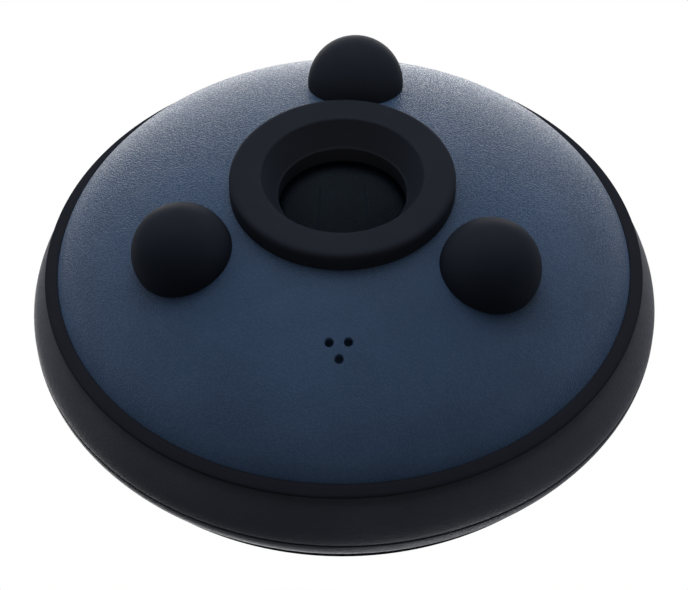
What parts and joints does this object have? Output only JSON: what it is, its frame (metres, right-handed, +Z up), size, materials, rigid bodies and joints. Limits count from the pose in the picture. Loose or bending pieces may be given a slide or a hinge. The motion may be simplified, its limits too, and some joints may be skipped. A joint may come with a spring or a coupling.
{
  "type": "tongue drum",
  "caption": "Round steel tongue drum with a slotted playing dome, a domed underside with a rubber-ringed sound port, a rim belt and round rubber feet.",
  "frame": {"origin": "on the drum's axis, at the height of the surface that the three feet stand on", "axes": "+Z up along the drum's axis toward the tongues; the front is at -Y, and one foot is at the back near +Y"},
  "size_m": [0.305, 0.305, 0.1443],
  "materials": {
    "navy_powder_coat": "fine-grained satin powder coat, navy blue",
    "charcoal_powder_coat": "fine-grained matte powder coat, charcoal black",
    "black_rubber": "smooth satin black rubber",
    "dark_sealant": "matte dark bead",
    "zinc_steel": "zinc-plated steel",
    "brass": "plain turned brass"
  },
  "bodies": {
    "root": {"bottom_shell": "navy_powder_coat", "foot_back": "black_rubber", "foot_insert_back": "brass", "foot_insert_left": "brass", "foot_insert_right": "brass", "foot_left": "black_rubber", "foot_right": "black_rubber", "foot_screw_back": "zinc_steel", "foot_screw_left": "zinc_steel", "foot_screw_right": "zinc_steel", "foot_washer_back": "zinc_steel", "foot_washer_left": "zinc_steel", "foot_washer_right": "zinc_steel", "port_ring": "black_rubber", "rim_lower": "charcoal_powder_coat", "rim_upper": "charcoal_powder_coat", "rubber_ring_bottom": "black_rubber", "rubber_ring_top": "black_rubber", "seam_seal": "dark_sealant", "top_shell": "navy_powder_coat"}
  },
  "joints": []
}
